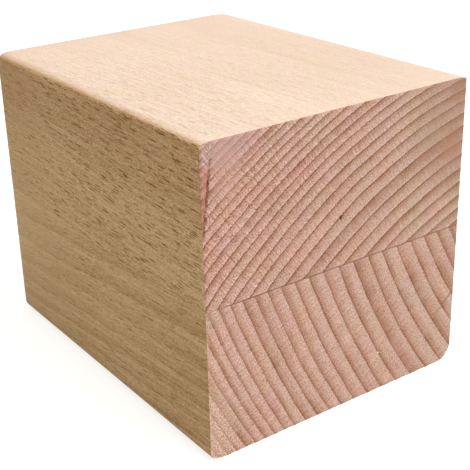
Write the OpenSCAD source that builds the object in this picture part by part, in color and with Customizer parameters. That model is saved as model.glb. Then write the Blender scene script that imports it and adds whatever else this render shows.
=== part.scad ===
// Wooden furniture foot: a square beech block, glued up from two boards and
// cut to length. It lies on one long side, with the grain along X, the sawn
// ends facing +X and -X, and the glue joint level. The origin is the centre
// of the face that it rests on. Millimetres.

/* [Block] */
// Length of the foot along the grain, from sawn end to sawn end
foot_length = 100; // [40:1:200]
// Width of the section, along the glue joint
section_width = 80; // [40:1:120]

/* [Boards] */
// Thickness of the upper board, from the glue joint to the outer face
upper_thickness = 40; // [20:1:60]
// Thickness of the lower board, from the glue joint to the outer face
lower_thickness = 40; // [20:1:60]

/* [Edges] */
// Radius of the round-over along the two long edges of the upper board
upper_edge_radius = 2; // [1:0.5:8]
// Radius of the round-over along the two long edges of the lower board
lower_edge_radius = 3; // [1:0.5:8]

/* [Hidden] */
// Height of the glue joint above the face that the foot rests on
glue_height = lower_thickness;
upper_tint = [0.88, 0.73, 0.58];
lower_tint = [0.84, 0.69, 0.53];
round_steps = 64;

// Section of one board across the grain: the glue face lies on the X axis and
// stays square, and the two outer corners have the round-over.
module board_section(thickness, edge_radius) {
    shoulder = thickness - edge_radius;
    flat_width = section_width - 2 * edge_radius;
    translate([-section_width / 2, 0])
        square([section_width, shoulder]);
    translate([-flat_width / 2, 0])
        square([flat_width, thickness]);
    for (side = [-1, 1])
        translate([side * flat_width / 2, shoulder])
            circle(r = edge_radius, $fn = round_steps);
}

// One board with its glue face on the XY plane and its outer face up, run
// along X and sawn square at both ends.
module board(thickness, edge_radius) {
    rotate([90, 0, 90])
        linear_extrude(height = foot_length, center = true)
            board_section(thickness, edge_radius);
}

module upper_lamella() {
    color(upper_tint)
        translate([0, 0, glue_height])
            board(upper_thickness, upper_edge_radius);
}

module lower_lamella() {
    color(lower_tint)
        translate([0, 0, glue_height])
            mirror([0, 0, 1])
                board(lower_thickness, lower_edge_radius);
}

upper_lamella();
lower_lamella();
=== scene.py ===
import math
from dataclasses import dataclass
from types import SimpleNamespace

import bmesh
import bpy
import numpy as np
from mathutils import Matrix, Vector


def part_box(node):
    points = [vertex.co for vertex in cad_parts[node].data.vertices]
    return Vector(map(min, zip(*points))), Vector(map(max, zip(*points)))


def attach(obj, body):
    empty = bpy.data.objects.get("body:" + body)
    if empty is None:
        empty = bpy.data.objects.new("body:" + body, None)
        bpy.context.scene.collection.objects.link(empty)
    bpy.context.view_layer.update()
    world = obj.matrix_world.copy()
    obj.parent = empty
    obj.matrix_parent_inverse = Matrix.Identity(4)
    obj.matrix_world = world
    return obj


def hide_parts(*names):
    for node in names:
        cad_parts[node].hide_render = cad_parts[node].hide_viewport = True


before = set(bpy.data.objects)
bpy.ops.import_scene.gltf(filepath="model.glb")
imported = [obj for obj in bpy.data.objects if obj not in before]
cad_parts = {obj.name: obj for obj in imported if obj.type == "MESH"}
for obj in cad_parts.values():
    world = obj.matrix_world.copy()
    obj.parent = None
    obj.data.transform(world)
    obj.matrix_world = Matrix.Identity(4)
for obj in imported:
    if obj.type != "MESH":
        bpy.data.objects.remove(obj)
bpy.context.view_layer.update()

# Sizes of the block, in metres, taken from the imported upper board
MM = 0.001
UPPER_LOW, UPPER_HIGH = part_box("upper_lamella")
HALF_LENGTH = UPPER_HIGH[0]
HALF_WIDTH = UPPER_HIGH[1]
GLUE_HEIGHT = UPPER_LOW[2]
THICKNESS = UPPER_HIGH[2] - UPPER_LOW[2]

# Steps of the boards' meshes: the sawn ends are finest beside the left arris
CELL = 0.4 * MM
FINE_CELL = 0.2 * MM
FINE_BAND = 3.6 * MM
ARC_STEPS = 16
STATION_STEP = 5.0 * MM
ARRIS_BAND = 0.35 * MM
WELD_DISTANCE = 0.0001 * MM
SHARP_ANGLE = 35.0

# Numbers of the materials in each mesh
END_NUMBER = 0
LONG_NUMBER = 1

# Bake map: the room round its sheets, and the share of their size that the ends and the glue face keep
MAP_MARGIN = 1.03
MAP_GAP = 0.01
MAP_END_SHARE = 0.98
MAP_GLUE_SHARES = (0.15, 0.1)

# Relief of the sawn ends: the dense wood at the end of each year stands proud
RING_RELIEF = 0.07 * MM
GLUE_GROOVE_DEPTH = 0.12 * MM
GLUE_GROOVE_WIDTH = 0.15 * MM
ARRIS_WEAR = 0.16 * MM
ARRIS_WEAR_SHARES = (0.2, 1.0)
ARRIS_WEAR_ACROSS = 0.5

# Torn strip of the upper board, in millimetres: a crack splits it off along the left arris
CRACK_TOP = (-37.15, 76.5)
CRACK_TOP_FADE = 1.0
CRACK_SLOPE = 0.14
CRACK_FOOT = 56.0
CRACK_FOOT_FADE = 4.0
CRACK_HALF_WIDTH = 0.2
CRACK_DEPTH = 0.4
STRIP_SINK = 0.18

# Waves of the crack's line, each as its radians for a millimetre and its size
CRACK_JAGS = ((1.9, 0.08), (4.7, 0.08))

# Change of the radius, in millimetres, that the growth polynomials count as one step
RING_SPAN = 30.0


@dataclass
class Board:
    """One board, in millimetres. Left and right are as seen from the sawn end in the photo."""

    # Imported node that the board replaces, and a name for its material slot, which is not used
    node: str
    slot: str
    # 1 above the glue joint, and -1 below it
    side: int
    # Left and right long edge: reach over the outer face and drop down the side, at that end and the far end
    eased: tuple
    # Centre of the rings at that end, and its shift for each millimetre along the grain
    pith: tuple
    lean: tuple
    # How far the rings stray from circles, by a shear and by a cubic
    shear: float
    cubic: float
    # Radius in the middle of the board, and the polynomial that counts the years from there
    middle: float
    growth: tuple
    # Sawn ends: strength of the dense wood, of the dark line that ends a year, and of splits along the rays
    dense: float
    lines: float
    splits: float
    # Sawn ends: how much pinker they are on the left, and how much fainter their figure is on the right
    pink: float
    fade: float
    # Sawn ends: tone and strength of the left arris
    arris: tuple
    # Long faces: strength of the flecks, of the rings' soft bands, and of short, middling and long fibres
    flecks: float
    band: float
    nap: float
    fibre: float
    streak: float
    # Long sides: how much they darken at the far end and at the near end
    ends: tuple
    # Long sides: how much lighter they are than their tone, and how much darker high up
    side_level: float
    shaded: float
    # Number that sets the board's own noise and wear
    seed: float
    # 1 where the torn strip is, and 0 on a whole board
    torn: float
    # Small holes of the end in the photo, each as a place, a radius and a depth
    pits: tuple
    # Oval patches of that end, each as a place, a size, a tone and a strength: stains, and painted shade in
    # and beside its small holes
    stains_and_shade: tuple
    # Thin lines of that end, each as two places, a width, a tone and a strength
    strokes: tuple
    # Oval of that end where pores and dark lines are stronger, as a place, a size and the added strength
    coarse: tuple
    # Pale torn fibres of the left side, each as two places along the grain and up, and a width
    hairs: tuple


UPPER = Board(
    node="upper_lamella",
    slot="upper_beech",
    side=1,
    eased=(((2.4, 1.2), (3.4, 1.9)), ((4.0, 0.6), (8.0, 2.0))),
    pith=(132.0, -136.0),
    lean=(0.05, -0.05),
    shear=4.9,
    cubic=1.2,
    middle=236.0,
    growth=(7.47, 9.51, 3.07, 1.71),
    dense=0.95,
    lines=0.8,
    splits=0.35,
    pink=0.45,
    fade=0.34,
    arris=((137, 89, 70), 0.55),
    flecks=0.95,
    band=0.04,
    nap=0.40,
    fibre=0.18,
    streak=0.16,
    ends=(0.05, 0.0),
    side_level=0.04,
    shaded=0.16,
    seed=3.0,
    torn=1.0,
    pits=((-0.4, 52.7, 0.4, 0.5),),
    stains_and_shade=(
        # Darker towards the upper right
        ((40.0, 70.0), (22.0, 24.0), (172, 133, 112), 0.4),
        ((-36.0, 80.0), (14.0, 9.0), (206, 175, 168), 0.5),
        ((-33.5, 72.0), (5.0, 9.0), (228, 180, 168), 0.35),
        ((36.0, 62.0), (5.5, 3.5), (196, 136, 106), 0.45),
        ((36.5, 66.5), (3.5, 2.0), (192, 130, 104), 0.35),
        ((38.0, 77.0), (4.5, 5.0), (182, 131, 102), 0.4),
        # Painted shade in the small hole
        ((-0.4, 52.7), (0.45, 0.8), (72, 46, 38), 0.95),
    ),
    strokes=(
        ((-39.5, 77.6), (-37.6, 75.2), 0.30, (240, 205, 188), 0.8),
        ((-39.2, 75.6), (-38.0, 73.6), 0.28, (240, 205, 188), 0.6),
    ),
    coarse=((-39.0, 78.0), (4.0, 5.0), 0.6),
    hairs=(
        ((49.1, 76.4), (49.0, 75.0), 0.40),
        ((49.5, 52.8), (49.2, 51.0), 0.40),
        ((49.0, 46.8), (49.4, 44.6), 0.40),
        ((49.0, 43.6), (49.6, 42.2), 0.55),
        ((49.8, 42.0), (49.6, 40.6), 0.45),
    ),
)
LOWER = Board(
    node="lower_lamella",
    slot="lower_beech",
    side=-1,
    eased=(((5.0, 2.0), (4.0, 2.8)), ((4.6, 4.2), (4.6, 4.2))),
    pith=(214.0, 127.0),
    lean=(0.0, 0.08),
    shear=0.27,
    cubic=1.44,
    middle=241.0,
    growth=(8.11, 7.43, 1.26, 0.75),
    dense=0.93,
    lines=0.2,
    splits=0.08,
    pink=0.2,
    fade=0.03,
    arris=((240, 200, 160), 0.5),
    flecks=0.46,
    band=0.14,
    nap=0.33,
    fibre=0.17,
    streak=0.16,
    ends=(0.0, 0.11),
    side_level=0.09,
    shaded=0.0,
    seed=8.0,
    torn=0.0,
    pits=((13.3, 10.8, 0.5, 0.3),),
    stains_and_shade=(
        ((-39.5, 5.0), (8.0, 18.0), (238, 206, 182), 0.40),
        ((13.3, 10.9), (0.55, 0.4), (255, 232, 214), 0.9),
        # Painted shade beside the pale nick at the small hole
        ((13.8, 10.3), (0.45, 0.35), (150, 92, 64), 0.7),
    ),
    strokes=(
        ((39.4, 20.4), (36.2, 17.6), 0.4, (150, 100, 72), 0.65),
        ((36.4, 17.8), (33.0, 15.2), 0.35, (150, 100, 72), 0.35),
    ),
    coarse=((-40.0, 3.0), (8.5, 19.0), 1.8),
    hairs=(((49.6, 31.0), (49.3, 29.2), 0.5),),
)

# Figure of the sawn ends: sizes of noise and places in millimetres, spans of smooth steps, and strengths
END = SimpleNamespace(
    # Where along the block the half with the end in the photo starts, which alone has the marks
    front_span=(-1.0, 1.0),
    # How far the rings wander, fray and show teeth along the rays
    stray=0.35,
    stray_size=(14.0, 14.0),
    fray=0.15,
    fray_size=(0.5, 0.5),
    tooth=0.17,
    tooth_width=0.34,
    tooth_length=1.6,
    # Dense wood: the least power of its rise within a year, what chance adds, and its patches along a ring
    rise=0.8,
    rise_range=1.2,
    patch=0.5,
    patch_size=9.0,
    patch_step=7.0,
    # Dark line that ends a year: its place in the year, its strength, and what patches and chance add
    line_span=(0.88, 0.97),
    line=0.8,
    line_patch=0.5,
    line_range=0.4,
    # Fine rings within a year, which are stronger in the dense wood
    fine_ring=0.05,
    fine_ring_dense=0.25,
    fine_ring_width=0.55,
    fine_ring_length=40.0,
    # Rays, pores and broad blotches
    ray=0.28,
    ray_width=0.42,
    ray_length=4.0,
    ray_seed=7.0,
    pore=0.54,
    pore_size=0.42,
    blotch=0.06,
    blotch_size=16.0,
    # Splits along the rays
    split_span=(0.30, 0.50),
    split_width=0.30,
    split_length=5.0,
    split_seed=13.0,
    # Drift of the colour: what pink does to red and green, and yellow to blue
    tint_size=9.0,
    pink_red=0.09,
    pink_green=-0.05,
    yellow_blue=-0.16,
    # Left arris: its distance from the side, and the pores and dense wood that break it up
    arris_span=(0.9, 0.2),
    arris_dense=0.6,
    arris_breaks=(-0.1, 0.7),
    # Glue line: its distance from the joint, its least strength, and what it gains away from the left side
    joint_span=(0.26, 0.10),
    joint=0.15,
    joint_gain=0.5,
    joint_gain_span=(1.5, 9.0),
    # Gloss and bump
    roughness=0.8,
    roughness_pore=0.08,
    bump_ray=0.5,
    bump_pore=0.5,
    bump_distance=0.12 * MM,
)

# Colour of the torn strip, in the same terms
TORN = SimpleNamespace(
    # Uneven line of the crack
    jag=0.3,
    jag_width=0.8,
    jag_length=1.6,
    # How far the strip fades in from its foot and from its head
    foot_fade=8.0,
    head_fade=5.0,
    # Redness: it starts at the crack, and is strongest beside it
    strip=0.75,
    strip_span=(0.4, -0.2),
    near=0.6,
    near_span=(-2.4, -0.2),
    far=0.4,
    # Dark of the crack, painted shade down in its gap, and the gaps in it
    crack=0.75,
    crack_span=(0.36, 0.08),
    gap_size=3.0,
    gap_span=(-0.3, 0.3),
)

# Figure of the planed long faces, in the same terms: sizes of noise are along the grain, then across it
LONG = SimpleNamespace(
    # Part of the face's direction, up or across, that makes it the top, the top's rim or the left side
    top_span=(0.66, 1.0),
    highlight_rim_span=(1.0, 0.95),
    left_span=(-0.5, -0.9),
    # Contrast: what the top loses, what its right loses as well, what the far end keeps, and the gain from it
    top_loss=0.61,
    right_loss=0.14,
    far_contrast=0.85,
    contrast_gain=0.5,
    contrast_span=(0.0, 50.0),
    # Distance from the far end where the sides darken towards that end and towards the other
    far_dim_span=(30.0, 2.0),
    near_dim_span=(55.0, 96.0),
    # Height above the glue joint where the sides darken and redden
    high_span=(12.0, 34.0),
    high_pink=0.4,
    # Level of all long faces, and what the top gains with the distance from the far end
    level=0.04,
    top_gain=0.03,
    top_gain_span=(60.0, 100.0),
    # Wander of the rings, fibres of three lengths, and broad clouds
    stray=0.9,
    stray_size=(45.0, 12.0),
    nap_size=(0.8, 0.28),
    fibre_size=(4.2, 0.30),
    streak_size=(30.0, 0.6),
    cloud=0.05,
    cloud_size=(40.0, 14.0),
    # Flecks: the cells that they lie in, how large they are there, and which cells have one
    fleck_cell=(8.0, 0.36),
    small_cell=(5.5, 0.28),
    small_share=0.9,
    fleck_span=(0.24, 0.13),
    luck_span=(0.64, 0.90),
    # Drift of the colour: what pink does to red, green and blue, and what the top's rim loses as a painted
    # highlight, yellower where the rounded edge catches the light
    tint_size=(9.0, 5.0),
    pink_red=0.03,
    pink_green=-0.03,
    pink_blue=0.06,
    highlight_green=0.03,
    highlight_blue=0.11,
    # Gloss and bump
    roughness=0.55,
    roughness_fibre=0.06,
    bump_fibre=0.3,
    bump_fleck=0.4,
    bump_distance=0.1 * MM,
)

# Shader values that both materials share
WOOD_SPECULAR = 0.04
BUMP_STRENGTH = 0.5
PLAIN_NOISE = 1.0
RICH_NOISE = 2.0
CELL_SCATTER = 0.85
OVAL_SPAN = (1.0, 0.1)
STROKE_CORE = 0.3

# Colours, as red, green and blue out of 255
# The top and the sides are lit and shaded copies of one wood: the top's paler, greyer tone is painted
# highlight, and the sides' yellower tone is painted shade
LIT_TOP_TONE = (230, 204, 183)
SHADED_SIDE_TONE = (219, 183, 137)
FLECK_TONE = (130, 82, 8)
RING_TONES = (
    (0.00, (222, 183, 166)),
    (0.20, (218, 179, 161)),
    (0.50, (205, 163, 143)),
    (0.80, (186, 139, 115)),
    (1.00, (167, 118, 94)),
)
LINE_TONE = (137, 89, 70)
GLUE_TONE = (140, 95, 78)
TORN_TONE = (206, 138, 118)
HAIR_TONE = (240, 212, 182)
CRACK_SHADE_TONE = (128, 58, 44)
FULL_TONE = 255

# Curve from such a colour to a linear one
TONE_KNEE = 0.04045
TONE_SLOPE = 12.92
TONE_LIFT = 0.055
TONE_POWER = 2.4

# Grain darkens green and blue more than red, so dark wood is browner
GRAIN_WEIGHTS = (1.0, 1.35, 1.75)

# Camera of the photo
CAMERA_PLACE = (0.2251, -0.1551, 0.1522)
CAMERA_AZIMUTH = 54.77
CAMERA_ELEVATION = 23.96
CAMERA_ROLL = -1.5
CAMERA_LENS = 81.5
CAMERA_SENSOR = 36.0
CAMERA_CLIP = 0.01

# Light: a soft key from above and behind the sawn end, and a warm even sky
KEY_TOWARDS = (0.45, 0.35, 0.82)
KEY_LEVEL = 0.80
KEY_TINT = (0.97, 1.0, 1.05)
KEY_SPREAD = 50.0
SKY_LEVEL = 0.50
SKY_TINT = (1.0, 0.93, 0.80)
WHITE = (1.0, 1.0, 1.0, 1.0)
FLOOR_ALBEDO = 0.5
FLOOR_GLOW = 0.78
FLOOR_SIZE = 4.0
FLOOR_DROP = 0.1 * MM


def linear(tone):
    """Linear colour of a tone that is given out of 255."""
    parts = []
    for value in tone:
        share = value / FULL_TONE
        if share <= TONE_KNEE:
            parts.append(share / TONE_SLOPE)
        else:
            parts.append(((share + TONE_LIFT) / (1.0 + TONE_LIFT)) ** TONE_POWER)
    return (*parts, 1.0)


# Rings: the same formulas serve the arrays of the meshes and the nodes of the materials


def pith_offset(board, x, y, z):
    """Way from the pith to a point of the board, across the grain, in millimetres."""
    run = x - HALF_LENGTH / MM
    return y - (run * board.lean[0] + board.pith[0]), z - (run * board.lean[1] + board.pith[1])


def ring_radius(board, x, y, z):
    """Distance from the pith to a point of the board, in millimetres."""
    dy, dz = pith_offset(board, x, y, z)
    across = y / (HALF_WIDTH / MM)
    above = (z - GLUE_HEIGHT / MM) / (THICKNESS / MM)
    circle = (dy * dy + dz * dz) ** 0.5
    return circle + across * above * board.shear + across * across * across * board.cubic


def ring_count(board, radius):
    """Years of growth up to a radius."""
    step = (radius - board.middle) / RING_SPAN
    start, rate, second, third = board.growth
    return step * (step * (step * third + second) + rate) + start


def crack_offset(y, z):
    """Distance across the grain from the crack of the torn strip, in millimetres."""
    off = y - ((z - CRACK_TOP[1]) * CRACK_SLOPE + CRACK_TOP[0])
    for rate, size in CRACK_JAGS:
        off = off + np.sin(z * rate) * size
    return off


# Meshes of the boards


def eased_corners(board, x):
    """Reach and drop of the left and of the right long edge at a place along the grain."""
    share = (HALF_LENGTH - x) / (2 * HALF_LENGTH)
    near, far = np.swapaxes(board.eased, 0, 1) * MM
    return near + (far - near) * share


def section_columns(board):
    """Places across the board, from side to side, with a quarter circle's steps at both ends."""
    turn = np.linspace(0.0, math.pi / 2, ARC_STEPS + 1)[:-1]
    left, right = eased_corners(board, HALF_LENGTH)[:, 0]
    start = left - HALF_WIDTH
    middle = start + FINE_BAND
    end = HALF_WIDTH - right
    left_arc = left * (1.0 - np.cos(turn)) - HALF_WIDTH
    fine = np.linspace(start, middle, int(FINE_BAND / FINE_CELL), endpoint=False)
    flat = np.linspace(middle, end, int((end - middle) / CELL) + 1)
    right_arc = HALF_WIDTH - right * (1.0 - np.cos(turn))
    return np.concatenate([left_arc, fine, flat, right_arc[::-1]])


def section_rows():
    """Shares of the board's thickness, from the glue joint to the outer face."""
    start = GLUE_GROOVE_WIDTH / THICKNESS
    return np.concatenate([[0.0], np.linspace(start, 1.0, int(THICKNESS / CELL) + 1)])


def crown(board, columns, x):
    """Thickness of the board at places across it, with its eased outer corners."""
    left, right = eased_corners(board, x)
    reach, drop = np.where(columns[:, None] < 0, left, right).T
    past = np.maximum(np.abs(columns) - (HALF_WIDTH - reach), 0.0) / reach
    return THICKNESS - drop * (1.0 - np.sqrt(np.maximum(1.0 - past**2, 0.0)))


def torn_relief(y, z):
    """Depth of the torn strip and of the crack beside it, in millimetres."""
    off = crack_offset(y, z)
    foot = np.clip((z - CRACK_FOOT) / CRACK_FOOT_FADE, 0.0, 1.0)
    head = np.clip((CRACK_TOP[1] - z) / CRACK_TOP_FADE, 0.0, 1.0)
    groove = CRACK_DEPTH * np.exp(-((off / CRACK_HALF_WIDTH) ** 2))
    return foot * head * (groove + np.where(off < 0, STRIP_SINK, 0.0))


def end_relief(board, end, y, z):
    """Depth of the sawn end below its plane."""
    y = y / MM
    z = z / MM
    growth = ring_count(board, ring_radius(board, end * HALF_LENGTH / MM, y, z)) % 1.0
    depth = RING_RELIEF * (1.0 - growth**2)
    if end > 0:
        depth = depth + board.torn * torn_relief(y, z) * MM
        for pit_y, pit_z, radius, pit_depth in board.pits:
            away = ((y - pit_y) ** 2 + (z - pit_z) ** 2) / radius**2
            depth = depth + pit_depth * MM * np.exp(-away)
    return depth


def section_grid(board, columns, rows, x):
    """Points of the board's section at a place along the grain, as an array of columns by rows."""
    y = np.repeat(columns[:, None], len(rows), axis=1)
    height = crown(board, columns, x)[:, None] * rows[None, :]
    return np.stack([np.full_like(y, x), y, GLUE_HEIGHT + board.side * height], axis=2)


def end_grid(board, end, columns, rows, rng):
    """Vertices of one sawn end, as an array of columns by rows."""
    _, y, z = np.moveaxis(section_grid(board, columns, rows, end * HALF_LENGTH), 2, 0)
    depth = end_relief(board, end, y, z)
    depth[:, 0] += GLUE_GROOVE_DEPTH
    rim = np.zeros(depth.shape, bool)
    rim[0, :] = rim[-1, :] = rim[:, -1] = True
    wear = ARRIS_WEAR * rng.uniform(*ARRIS_WEAR_SHARES, depth.shape)
    depth = depth + np.where(rim, wear, 0.0)
    x = end * (HALF_LENGTH - depth)
    centre_z = GLUE_HEIGHT + board.side * THICKNESS / 2
    y = np.where(rim, y - np.sign(y) * wear * ARRIS_WEAR_ACROSS, y)
    z = np.where(rim, z - np.sign(z - centre_z) * wear * ARRIS_WEAR_ACROSS, z)
    z[:, 0] = GLUE_HEIGHT
    return np.stack([x, y, z], axis=2)


def around(grid):
    """The rim of a section: up one side, over the outer face and down the other side."""
    return np.concatenate([grid[0, :], grid[1:, -1], grid[-1, -2::-1]])


def stations():
    """Places along the grain where the long faces have vertices, between the two ends."""
    inner = HALF_LENGTH - ARRIS_BAND
    count = int(2 * inner / STATION_STEP)
    return np.linspace(-inner, inner, count + 1)


def board_grids(board, columns, rows, places):
    """Vertices of a board's four sheets: near end, far end, the long faces in one strip, and glue face."""
    rng = np.random.default_rng(int(board.seed))
    near = end_grid(board, 1, columns, rows, rng)
    far = end_grid(board, -1, columns, rows, rng)
    sections = [section_grid(board, columns, rows, place) for place in places]
    cuts = [far, *sections, near]
    strip = np.stack([around(cut) for cut in cuts], axis=1)
    glue = np.stack([cut[:, 0] for cut in cuts], axis=1)
    return near, far, strip, glue


def map_grid(first, second):
    """Places in the bake map of a grid with these two sets of places."""
    return np.stack(np.meshgrid(first, second, indexing="ij"), axis=2)


def board_maps(board, columns, rows, places):
    """Places in the bake map of the same four sheets: the strip lies lowest, and the glue face highest."""
    plain = section_grid(board, columns, rows, 0.0)
    steps = np.linalg.norm(np.diff(around(plain), axis=0), axis=1)
    run = np.concatenate([[0.0], np.cumsum(steps)])
    map_side = run[-1] * MAP_MARGIN
    across = (columns + HALF_WIDTH) / map_side
    along = (np.concatenate([[-HALF_LENGTH], places, [HALF_LENGTH]]) + HALF_LENGTH) / map_side
    end_y = plain[:, :, 1] + HALF_WIDTH
    end_z = np.abs(plain[:, :, 2] - GLUE_HEIGHT)
    end_corner = np.array([MAP_GAP, 2 * HALF_LENGTH / map_side + 2 * MAP_GAP])
    near = np.stack([end_y, end_z], axis=2) / map_side * MAP_END_SHARE + end_corner
    far = near + np.array([2 * HALF_WIDTH / map_side, 0.0])
    strip = map_grid(run / map_side, along) + MAP_GAP
    glue_corner = np.array([MAP_GAP, (2 * HALF_LENGTH + THICKNESS) / map_side + 3 * MAP_GAP])
    glue = map_grid(across, along) * np.array(MAP_GLUE_SHARES) + glue_corner
    return near, far, strip, glue


def quads(across, along, flip):
    """Faces of a grid that is numbered along its second direction first."""
    index = np.arange(across * along).reshape(across, along)
    faces = np.stack([index[:-1, :-1], index[1:, :-1], index[1:, 1:], index[:-1, 1:]], axis=2)
    faces = faces.reshape(-1, 4)
    return faces[:, ::-1] if flip else faces


def sheet(grid, places, flip, number):
    """One sheet of the mesh: its vertices, faces and places in the bake map, and its material's number."""
    across, along = grid.shape[:2]
    return grid.reshape(-1, 3), quads(across, along, flip), places.reshape(-1, 2), number


def board_sheets(board):
    """The four sheets of a board, with their faces turned outwards."""
    columns = section_columns(board)
    rows = section_rows()
    places = stations()
    grids = board_grids(board, columns, rows, places)
    maps = board_maps(board, columns, rows, places)
    lower = board.side < 0
    flips = (lower, not lower, not lower, lower)
    numbers = (END_NUMBER, END_NUMBER, LONG_NUMBER, LONG_NUMBER)
    return [sheet(*parts) for parts in zip(grids, maps, flips, numbers)]


def joined(sheets):
    """All sheets as one set of vertices, faces, map places and material numbers."""
    vertices, faces, places, numbers = [], [], [], []
    start = 0
    for points, quad, uv, number in sheets:
        vertices.append(points)
        faces.append(quad + start)
        places.append(uv)
        numbers.append(np.full(len(quad), number))
        start += len(points)
    return [np.concatenate(part) for part in (vertices, faces, places, numbers)]


def board_mesh(board):
    """The closed mesh of one board, with its bake map."""
    vertices, faces, places, numbers = joined(board_sheets(board))
    mesh = bpy.data.meshes.new(board.node + "_wood")
    mesh.from_pydata(vertices.tolist(), [], faces.tolist())
    mesh.polygons.foreach_set("material_index", numbers.astype(np.int32))
    layer = mesh.uv_layers.new(name="OFBake")
    layer.data.foreach_set("uv", places[faces.reshape(-1)].astype(np.float32).reshape(-1))
    return mesh


def weld(mesh):
    """Joins the sheets where they meet, and keeps the arrises sharp."""
    work = bmesh.new()
    work.from_mesh(mesh)
    bmesh.ops.remove_doubles(work, verts=work.verts, dist=WELD_DISTANCE)
    work.to_mesh(mesh)
    work.free()
    mesh.shade_smooth()
    mesh.set_sharp_from_angle(angle=math.radians(SHARP_ANGLE))


# Parts that the materials are made of


class Wire:
    """A number on its way through a material's nodes, with plain arithmetic."""

    def __init__(self, tree, socket):
        self.tree = tree
        self.socket = socket

    def apply(self, operation, *others):
        """The result of one of the math node's operations."""
        node = self.tree.nodes.new("ShaderNodeMath")
        node.operation = operation
        for slot, value in zip(node.inputs, (self, *others)):
            feed(self.tree, slot, value)
        return Wire(self.tree, node.outputs[0])

    def __add__(self, other):
        return self.apply("ADD", other)

    def __sub__(self, other):
        return self.apply("SUBTRACT", other)

    def __mul__(self, other):
        return self.apply("MULTIPLY", other)

    def __truediv__(self, other):
        return self.apply("DIVIDE", other)

    def __pow__(self, other):
        return self.apply("POWER", other)

    def sin(self):
        """What np.sin calls, so that it serves a wire as it serves an array."""
        return self.apply("SINE")


def feed(tree, slot, value):
    """Sets a node's input to a number, a colour or what comes along a wire."""
    if isinstance(value, Wire):
        tree.links.new(value.socket, slot)
    elif hasattr(value, "links"):
        tree.links.new(value, slot)
    else:
        slot.default_value = value


def coordinates(tree, kind):
    """The three parts of one of the point's coordinates, as wires."""
    source = tree.nodes.new("ShaderNodeTexCoord")
    split = tree.nodes.new("ShaderNodeSeparateXYZ")
    tree.links.new(source.outputs[kind], split.inputs[0])
    return [Wire(tree, socket) for socket in split.outputs]


def grain_place(tree):
    """The point's place in the board, in millimetres."""
    return [part / MM for part in coordinates(tree, "Object")]


def facing(tree):
    """The face's own direction."""
    return coordinates(tree, "Normal")


def vector(tree, x, y, z):
    """Three numbers or wires as one vector."""
    node = tree.nodes.new("ShaderNodeCombineXYZ")
    for slot, value in zip(node.inputs, (x, y, z)):
        feed(tree, slot, value)
    return node.outputs[0]


def noise(tree, x, y, z, detail=PLAIN_NOISE):
    """Smooth noise from about -1 to 1, one swell to each unit of its three places."""
    node = tree.nodes.new("ShaderNodeTexNoise")
    feed(tree, node.inputs["Vector"], vector(tree, x, y, z))
    node.inputs["Scale"].default_value = 1.0
    node.inputs["Detail"].default_value = detail
    return (Wire(tree, node.outputs[0]) - 0.5) * 2.0


def grain_noise(tree, place, size, detail=PLAIN_NOISE):
    """Noise with one size along the grain and another across it."""
    x, y, z = place
    along, across = size
    return noise(tree, x / along, y / across, z / across, detail)


def cells(tree, x, y):
    """Distance to the nearest of many scattered points, and that point's own random number."""
    node = tree.nodes.new("ShaderNodeTexVoronoi")
    node.voronoi_dimensions = "2D"
    feed(tree, node.inputs["Vector"], vector(tree, x, y, 0.0))
    node.inputs["Scale"].default_value = 1.0
    node.inputs["Randomness"].default_value = CELL_SCATTER
    split = tree.nodes.new("ShaderNodeSeparateXYZ")
    tree.links.new(node.outputs["Color"], split.inputs[0])
    return Wire(tree, node.outputs["Distance"]), Wire(tree, split.outputs[0])


def chance(tree, wire):
    """One random number from 0 to 1 for each value of a wire."""
    node = tree.nodes.new("ShaderNodeTexWhiteNoise")
    node.noise_dimensions = "1D"
    feed(tree, node.inputs["W"], wire)
    return Wire(tree, node.outputs["Value"])


def smooth(wire, low, high):
    """Rises smoothly from 0 at low to 1 at high, or falls if low is above high."""
    node = wire.tree.nodes.new("ShaderNodeMapRange")
    node.interpolation_type = "SMOOTHSTEP"
    feed(wire.tree, node.inputs["Value"], wire)
    node.inputs["From Min"].default_value = low
    node.inputs["From Max"].default_value = high
    return Wire(wire.tree, node.outputs[0])


def ramp(wire, tones):
    """A colour for each value of a wire from 0 to 1."""
    node = wire.tree.nodes.new("ShaderNodeValToRGB")
    feed(wire.tree, node.inputs[0], wire)
    elements = node.color_ramp.elements
    while len(elements) < len(tones):
        elements.new(1.0)
    for element, (place, tone) in zip(elements, tones):
        element.position = place
        element.color = linear(tone)
    return node.outputs["Color"]


def mixed(tree, share, first, second):
    """First colour where share is 0, second where it is 1."""
    node = tree.nodes.new("ShaderNodeMix")
    node.data_type = "RGBA"
    feed(tree, node.inputs[0], share)
    feed(tree, node.inputs[6], first)
    feed(tree, node.inputs[7], second)
    return node.outputs[2]


def brighter(tree, colour, red, green, blue):
    """A colour with its three parts multiplied by wires."""
    node = tree.nodes.new("ShaderNodeVectorMath")
    node.operation = "MULTIPLY"
    feed(tree, node.inputs[0], colour)
    feed(tree, node.inputs[1], vector(tree, red, green, blue))
    return node.outputs[0]


def grained(tree, colour, level):
    """A colour lightened or darkened by a wire of about -1 to 1, and browner as it darkens."""
    return brighter(tree, colour, *(level * weight + 1.0 for weight in GRAIN_WEIGHTS))


def stroke(y, z, start, end, width):
    """1 along a straight stroke between two places, fading out over its width."""
    length = math.dist(start, end)
    along_y = (end[0] - start[0]) / length
    along_z = (end[1] - start[1]) / length
    dy = y - start[0]
    dz = z - start[1]
    run = dy * along_y + dz * along_z
    off = (dy * along_z - dz * along_y).apply("ABSOLUTE")
    core = smooth(off, width, width * STROKE_CORE)
    return core * smooth(run, 0.0, width) * smooth(run, length, length - width)


def oval(y, z, centre, size):
    """1 in the middle of an oval patch, fading out to its rim."""
    dy = (y - centre[0]) / size[0]
    dz = (z - centre[1]) / size[1]
    return smooth(dy * dy + dz * dz, *OVAL_SPAN)


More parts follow.
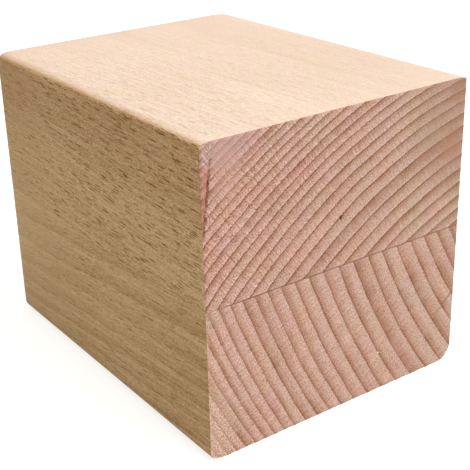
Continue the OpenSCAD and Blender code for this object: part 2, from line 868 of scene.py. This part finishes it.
def bare_wood(name):
    """A new material with one principled shader, for bare wood."""
    material = bpy.data.materials.new(name)
    material.use_nodes = True
    tree = material.node_tree
    shader = tree.nodes["Principled BSDF"]
    shader.inputs["Specular IOR Level"].default_value = WOOD_SPECULAR
    return material, tree, shader


def bump(tree, shader, height, distance):
    """Lets a wire from about -1 to 1 raise and sink the surface."""
    node = tree.nodes.new("ShaderNodeBump")
    node.inputs["Strength"].default_value = BUMP_STRENGTH
    node.inputs["Distance"].default_value = distance
    feed(tree, node.inputs["Height"], height)
    tree.links.new(node.outputs["Normal"], shader.inputs["Normal"])


def pith_arc(board, x, y, z):
    """Distance round the pith at the board's middle ring, in millimetres: the same all along a ray."""
    dy, dz = pith_offset(board, x, y, z)
    return dz.apply("ARCTAN2", dy) * board.middle


# Material of the sawn ends


def end_rings(tree, board, place):
    """Where a point lies among the rings and rays, and how dense its wood is."""
    arc = pith_arc(board, *place)
    true_radius = ring_radius(board, *place)
    stray = grain_noise(tree, place, END.stray_size, RICH_NOISE) * END.stray
    fray = grain_noise(tree, place, END.fray_size) * END.fray
    tooth = noise(tree, arc / END.tooth_width, true_radius / END.tooth_length, board.seed) * END.tooth
    radius = true_radius + stray + fray + tooth
    years = ring_count(board, radius)
    whole = years.apply("FLOOR")
    growth = years.apply("FRACT")
    luck = chance(tree, whole)
    patchy = noise(tree, arc / END.patch_size, whole * END.patch_step, board.seed, RICH_NOISE)
    rise = growth ** (luck * END.rise_range + END.rise)
    dense = rise * (patchy * END.patch + board.dense)
    line = smooth(growth, *END.line_span) * (patchy * END.line_patch + luck * END.line_range + END.line)
    return SimpleNamespace(arc=arc, true_radius=true_radius, radius=radius, dense=dense, line=line)


def end_figure(tree, board, rings, place, crisp, rough):
    """Rays and pores of a sawn end, and the light and dark of its whole figure."""
    x, y, z = place
    ray_side = rings.arc / END.ray_width
    ray = noise(tree, ray_side, rings.true_radius / END.ray_length, board.seed + END.ray_seed)
    pore = noise(tree, y / END.pore_size, z / END.pore_size, x)
    blotch = noise(tree, y / END.blotch_size, z / END.blotch_size, x / END.blotch_size)
    fine = noise(tree, rings.radius / END.fine_ring_width, rings.arc / END.fine_ring_length, board.seed)
    fine = fine * (rings.dense * END.fine_ring_dense + END.fine_ring)
    level = (fine + ray * END.ray + pore * rough * END.pore) * crisp + blotch * END.blotch
    return ray, pore, level


def ray_splits(tree, board, rings):
    """1 in the fine splits along the rays, and 0 between them."""
    split_side = rings.arc / END.split_width
    split = noise(tree, split_side, rings.true_radius / END.split_length, board.seed + END.split_seed)
    return smooth(split, *END.split_span)


def end_tint(tree, board, colour, y, z):
    """Lets the colour of a sawn end drift between pink and yellow."""
    across = y / END.tint_size
    up = z / END.tint_size
    pink = noise(tree, across, up, board.seed, RICH_NOISE) - y / (HALF_WIDTH / MM) * board.pink
    yellow = noise(tree, up, across, board.seed, RICH_NOISE)
    red = pink * END.pink_red + 1.0
    green = pink * END.pink_green + 1.0
    blue = yellow * END.yellow_blue + 1.0
    return brighter(tree, colour, red, green, blue)


def torn_strip(tree, board, colour, front, y, z):
    """Reddens the strip that the crack splits off, and darkens the crack with painted shade."""
    jag = noise(tree, y / TORN.jag_width, z / TORN.jag_length, board.seed, RICH_NOISE)
    off = crack_offset(y, z) + jag * TORN.jag
    foot = smooth(z, CRACK_FOOT, CRACK_FOOT + TORN.foot_fade)
    head = smooth(z, CRACK_TOP[1], CRACK_TOP[1] - TORN.head_fade)
    span = foot * head
    redness = smooth(off, *TORN.near_span) * TORN.near + TORN.far
    strip = smooth(off, *TORN.strip_span) * redness * span * front
    colour = mixed(tree, strip * TORN.strip, colour, linear(TORN_TONE))
    gaps = smooth(noise(tree, z / TORN.gap_size, board.seed, 0.0, RICH_NOISE), *TORN.gap_span)
    crack = smooth(off.apply("ABSOLUTE"), *TORN.crack_span) * span * gaps * front
    return mixed(tree, crack * TORN.crack, colour, linear(CRACK_SHADE_TONE))


def end_marks(tree, board, colour, front, y, z):
    """Adds the stains and the painted shade of the small holes, the thin strokes and the torn strip of the
    end in the photo.
    """
    for centre, size, tone, strength in board.stains_and_shade:
        colour = mixed(tree, oval(y, z, centre, size) * front * strength, colour, linear(tone))
    for start, end, width, tone, strength in board.strokes:
        colour = mixed(tree, stroke(y, z, start, end, width) * front * strength, colour, linear(tone))
    if board.torn:
        colour = torn_strip(tree, board, colour, front, y, z)
    return colour


def end_rims(tree, board, colour, breaks, y, z):
    """Tones the left arris of a sawn end, and the glue line."""
    from_left = y + HALF_WIDTH / MM
    arris = smooth(from_left, *END.arris_span) * smooth(breaks, *END.arris_breaks)
    tone, strength = board.arris
    colour = mixed(tree, arris * strength, colour, linear(tone))
    joint = smooth((z - GLUE_HEIGHT / MM).apply("ABSOLUTE"), *END.joint_span)
    share = smooth(from_left, *END.joint_gain_span) * END.joint_gain + END.joint
    return mixed(tree, joint * share, colour, linear(GLUE_TONE))


def end_grain(board):
    """Sawn end: rings with a thin dark line at the end of each year, rays across them, and pores."""
    material, tree, shader = bare_wood(board.node + "_end_grain")
    place = grain_place(tree)
    x, y, z = place
    front = smooth(x, *END.front_span)
    crisp = y / (HALF_WIDTH / MM) * -board.fade + 1.0
    centre, size, extra = board.coarse
    rough = oval(y, z, centre, size) * front * extra + 1.0
    rings = end_rings(tree, board, place)
    ray, pore, level = end_figure(tree, board, rings, place, crisp, rough)
    colour = ramp(rings.dense, RING_TONES)
    colour = mixed(tree, rings.line * crisp * rough * board.lines, colour, linear(LINE_TONE))
    colour = grained(tree, colour, level)
    splits = ray_splits(tree, board, rings) * crisp * board.splits
    colour = mixed(tree, splits, colour, linear(LINE_TONE))
    colour = end_tint(tree, board, colour, y, z)
    colour = end_marks(tree, board, colour, front, y, z)
    colour = end_rims(tree, board, colour, pore + rings.dense * END.arris_dense, y, z)
    tree.links.new(colour, shader.inputs["Base Color"])
    feed(tree, shader.inputs["Roughness"], pore * END.roughness_pore + END.roughness)
    bump(tree, shader, ray * END.bump_ray + pore * END.bump_pore, END.bump_distance)
    return material


# Material of the long faces


def long_contrast(top, x, y):
    """Contrast of the figure: weak on the top, most of all at its right, and weaker at the far end."""
    across = y / (HALF_WIDTH / MM)
    # Part of what the top loses is painted highlight, its figure washed out as under strong light, and part
    # is the rays' slant to the top
    kept = top * (across * -LONG.right_loss - LONG.top_loss) + 1.0
    near = smooth(x + HALF_LENGTH / MM, *LONG.contrast_span)
    return kept * (near * LONG.contrast_gain + LONG.far_contrast)


def long_shade(board, top, side, high, x):
    """Broad light and dark of the long faces, apart from the figure."""
    from_far = x + HALF_LENGTH / MM
    far_dim = smooth(from_far, *LONG.far_dim_span) * board.ends[0]
    near_dim = smooth(from_far, *LONG.near_dim_span) * board.ends[1]
    sides = side * board.side_level - (far_dim + near_dim) * side - high * board.shaded
    return sides + smooth(from_far, *LONG.top_gain_span) * top * LONG.top_gain + LONG.level


def upright_place(board, top, side, x, y, z):
    """The point's place with the lean of the pith taken out: across on the top, and up on the sides."""
    run = x - HALF_LENGTH / MM
    return x, y - run * board.lean[0] * top, z - run * board.lean[1] * side


def long_figure(tree, board, place, fibre, clear):
    """Light and dark of fibres of three lengths, of the rings' soft bands and of broad clouds."""
    _, y, z = place
    stray = grain_noise(tree, place, LONG.stray_size, RICH_NOISE) * LONG.stray
    growth = ring_count(board, ring_radius(board, HALF_LENGTH / MM, y, z) + stray).apply("FRACT")
    nap = grain_noise(tree, place, LONG.nap_size)
    streak = grain_noise(tree, place, LONG.streak_size)
    cloud = grain_noise(tree, place, LONG.cloud_size)
    texture = (nap * board.nap + fibre * board.fibre + streak * board.streak) * clear
    return growth * growth * (clear * -board.band) + texture + cloud * LONG.cloud


def dashes(tree, x, arc, cell):
    """1 in short dashes along the grain, in lanes that start at random, and 0 between them."""
    length, width = cell
    lane = arc / width
    start = chance(tree, lane.apply("FLOOR"))
    near, luck = cells(tree, x / length + start, lane)
    return smooth(near, *LONG.fleck_span) * smooth(luck, *LONG.luck_span)


def long_flecks(tree, board, place, clear):
    """Strength of the short dark flecks where the rays come to the surface."""
    x, y, z = place
    arc = pith_arc(board, HALF_LENGTH / MM, y, z)
    large = dashes(tree, x, arc, LONG.fleck_cell)
    small = dashes(tree, x, arc, LONG.small_cell)
    return (large + small * LONG.small_share) * clear * clear * board.flecks


def long_tint(tree, colour, place, rim, high):
    """Lets the colour of the long faces drift to pink, and yellows the rim of the top as a painted highlight.
    """
    pink = grain_noise(tree, place, LONG.tint_size, RICH_NOISE) + high * LONG.high_pink
    red = pink * LONG.pink_red + 1.0
    green = pink * LONG.pink_green - rim * LONG.highlight_green + 1.0
    blue = pink * LONG.pink_blue - rim * LONG.highlight_blue + 1.0
    return brighter(tree, colour, red, green, blue)


def long_grain(board):
    """Planed long faces: soft bands of the rings, fine fibres, and the short dark flecks of the rays."""
    material, tree, shader = bare_wood(board.node + "_long_grain")
    x, y, z = grain_place(tree)
    _, out_y, out_z = facing(tree)
    top = smooth(out_z, *LONG.top_span)
    side = top * -1.0 + 1.0
    # The rim of the top, where a painted highlight yellows the rounded edge
    rim = smooth(out_z, *LONG.highlight_rim_span) * top
    left = smooth(out_y, *LONG.left_span)
    high = smooth(z - GLUE_HEIGHT / MM, *LONG.high_span) * side
    clear = long_contrast(top, x, y)
    place = upright_place(board, top, side, x, y, z)
    fibre = grain_noise(tree, place, LONG.fibre_size)
    level = long_figure(tree, board, place, fibre, clear) + long_shade(board, top, side, high, x)
    flecks = long_flecks(tree, board, place, clear)
    # Painted light: the top takes the paler, lit copy of the wood's tone, and the sides take the yellower,
    # shaded copy
    colour = mixed(tree, top, linear(SHADED_SIDE_TONE), linear(LIT_TOP_TONE))
    colour = grained(tree, colour, level)
    colour = long_tint(tree, colour, place, rim, high)
    colour = mixed(tree, flecks, colour, linear(FLECK_TONE))
    for start, end, width in board.hairs:
        colour = mixed(tree, stroke(x, z, start, end, width) * left, colour, linear(HAIR_TONE))
    tree.links.new(colour, shader.inputs["Base Color"])
    feed(tree, shader.inputs["Roughness"], fibre * LONG.roughness_fibre + LONG.roughness)
    bump(tree, shader, fibre * LONG.bump_fibre - flecks * LONG.bump_fleck, LONG.bump_distance)
    return material


def build_board(board):
    """Replaces one packed board with its detailed mesh."""
    mesh = board_mesh(board)
    weld(mesh)
    piece = bpy.data.objects.new(board.node + "_wood", mesh)
    bpy.context.scene.collection.objects.link(piece)
    mesh.materials.append(end_grain(board))
    mesh.materials.append(long_grain(board))
    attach(piece, "root")
    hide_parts(board.node)


# Stage


def shows_plainly(tree):
    """1 for what the camera, a mirror or glass sees, and 0 for light that falls on the object."""
    path = tree.nodes.new("ShaderNodeLightPath")
    seen = Wire(tree, path.outputs["Is Camera Ray"])
    for name in ("Is Glossy Ray", "Is Transmission Ray"):
        seen = seen.apply("MAXIMUM", Wire(tree, path.outputs[name]))
    return seen


def build_floor():
    """A pale floor that keeps the object's shadow and otherwise shows white."""
    half = FLOOR_SIZE / 2
    mesh = bpy.data.meshes.new("floor")
    corners = [(-half, -half, 0), (half, -half, 0), (half, half, 0), (-half, half, 0)]
    mesh.from_pydata(corners, [], [(0, 1, 2, 3)])
    floor = bpy.data.objects.new("floor", mesh)
    floor.location.z = -FLOOR_DROP
    bpy.context.scene.collection.objects.link(floor)
    material = bpy.data.materials.new("floor_paper")
    material.use_nodes = True
    tree = material.node_tree
    shader = tree.nodes["Principled BSDF"]
    shader.inputs["Base Color"].default_value = (FLOOR_ALBEDO, FLOOR_ALBEDO, FLOOR_ALBEDO, 1.0)
    shader.inputs["Roughness"].default_value = 1.0
    shader.inputs["Specular IOR Level"].default_value = 0.0
    shader.inputs["Emission Color"].default_value = WHITE
    feed(tree, shader.inputs["Emission Strength"], shows_plainly(tree) * FLOOR_GLOW)
    mesh.materials.append(material)


def build_sky():
    """An even warm sky for the light, which shows as plain white."""
    world = bpy.data.worlds.new("studio")
    bpy.context.scene.world = world
    world.use_nodes = True
    tree = world.node_tree
    sky = tree.nodes["Background"]
    sky.inputs["Color"].default_value = (*SKY_TINT, 1.0)
    sky.inputs["Strength"].default_value = SKY_LEVEL
    white = tree.nodes.new("ShaderNodeBackground")
    white.inputs["Color"].default_value = WHITE
    choose = tree.nodes.new("ShaderNodeMixShader")
    feed(tree, choose.inputs[0], shows_plainly(tree))
    tree.links.new(sky.outputs[0], choose.inputs[1])
    tree.links.new(white.outputs[0], choose.inputs[2])
    tree.links.new(choose.outputs[0], tree.nodes["World Output"].inputs["Surface"])


def build_key():
    """One large soft lamp."""
    lamp = bpy.data.lights.new("key", "SUN")
    lamp.energy = KEY_LEVEL * math.pi
    lamp.color = KEY_TINT
    lamp.angle = math.radians(KEY_SPREAD)
    key = bpy.data.objects.new("key", lamp)
    key.rotation_mode = "QUATERNION"
    key.rotation_quaternion = Vector(KEY_TOWARDS).to_track_quat("Z", "Y")
    bpy.context.scene.collection.objects.link(key)


def build_camera():
    """The photo's view: turned round the object, looking down, and rolled a little."""
    turn = math.radians(CAMERA_AZIMUTH)
    rise = math.radians(CAMERA_ELEVATION)
    back = Vector((math.sin(turn) * math.cos(rise), -math.cos(turn) * math.cos(rise), math.sin(rise)))
    level = back.to_track_quat("Z", "Y").to_matrix()
    roll = Matrix.Rotation(math.radians(CAMERA_ROLL), 3, "Z")
    data = bpy.data.cameras.new("camera")
    data.lens = CAMERA_LENS
    data.sensor_width = CAMERA_SENSOR
    data.clip_start = CAMERA_CLIP
    camera = bpy.data.objects.new("camera", data)
    camera.matrix_world = Matrix.Translation(CAMERA_PLACE) @ (level @ roll).to_4x4()
    bpy.context.scene.collection.objects.link(camera)
    bpy.context.scene.camera = camera


build_camera()
build_floor()
build_sky()
build_key()
build_board(UPPER)
build_board(LOWER)
bpy.context.scene.view_settings.view_transform = "Standard"
bpy.context.view_layer.update()
